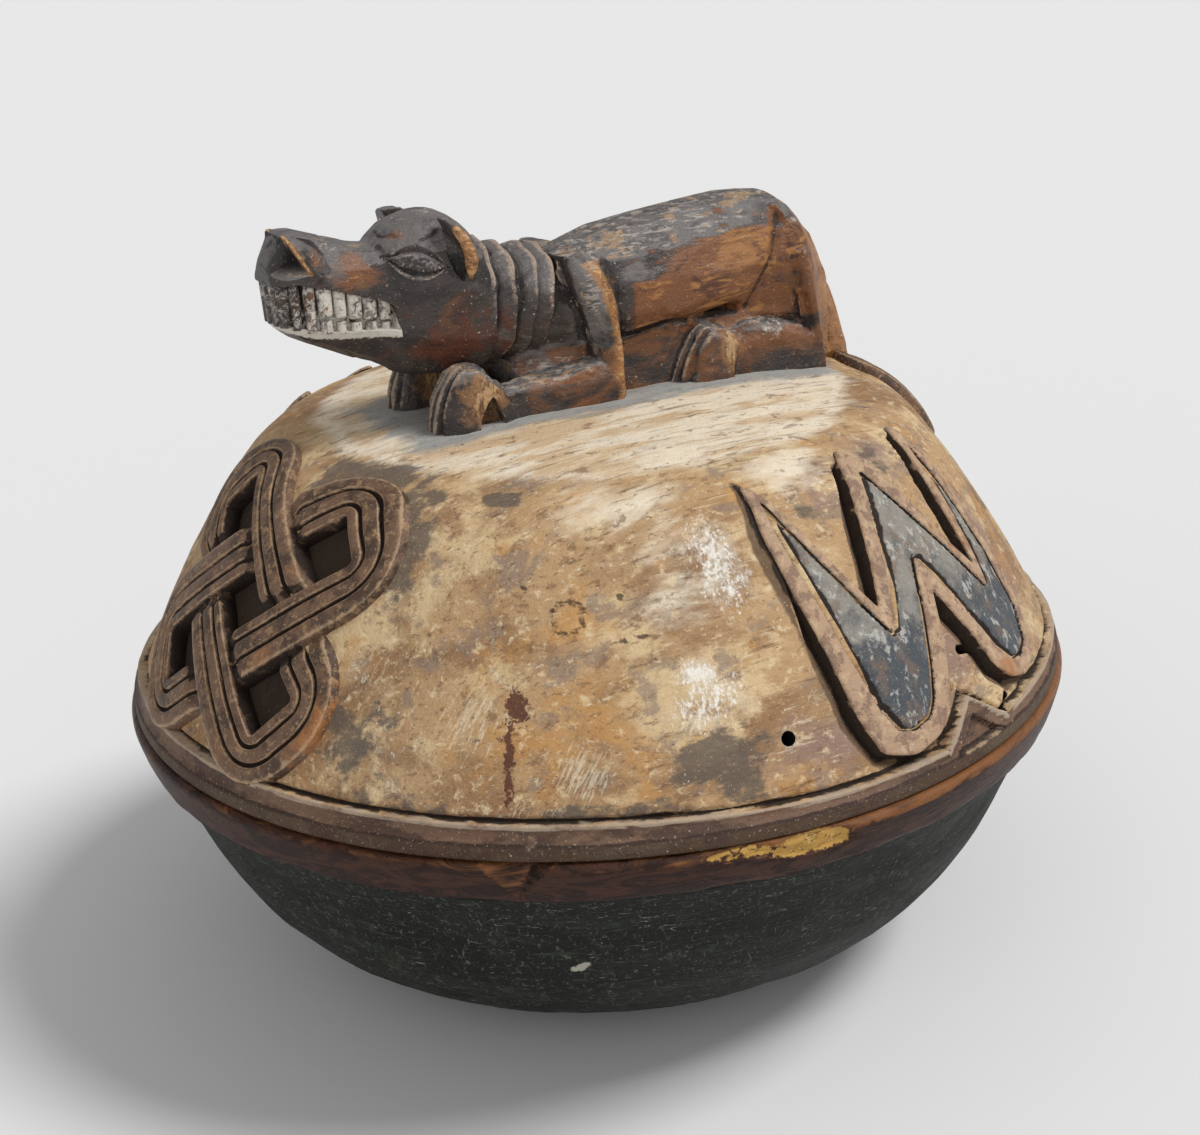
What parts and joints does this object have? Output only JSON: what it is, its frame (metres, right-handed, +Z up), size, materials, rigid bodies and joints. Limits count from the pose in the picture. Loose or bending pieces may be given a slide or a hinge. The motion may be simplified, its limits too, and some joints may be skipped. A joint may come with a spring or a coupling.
{
  "type": "divination box",
  "caption": "Round lidded box carved in wood: round-bottomed bowl with a rim band, domed lid with knot and zigzag reliefs and a crouching animal on top.",
  "frame": {"origin": "centre of the bowl's flat foot, which is the bottom centre of the whole box", "axes": "+Z up along the axis of the bowl and lid, which is also the way the lid lifts; the animal lies along X with its head towards -X"},
  "size_m": [0.3, 0.3, 0.245],
  "materials": {
    "blackened_wood": "blackened, dry, with grey-green dust and a brown rim band",
    "worn_lid_wood": "worn tan wood with brown border, grey stains and white clay traces",
    "dark_figure_wood": "dark smoky patina, satin, worn to red-brown on the knife facets"
  },
  "bodies": {
    "bowl": {"bowl": "blackened_wood"},
    "lid": {"lid": "worn_lid_wood", "crouching_animal": "dark_figure_wood"}
  },
  "joints": [
    {"name": "lid_lift", "type": "slide", "parent": "bowl", "child": "lid", "axis": [0, 0, 1], "range_m": [0, 0.2]}
  ]
}
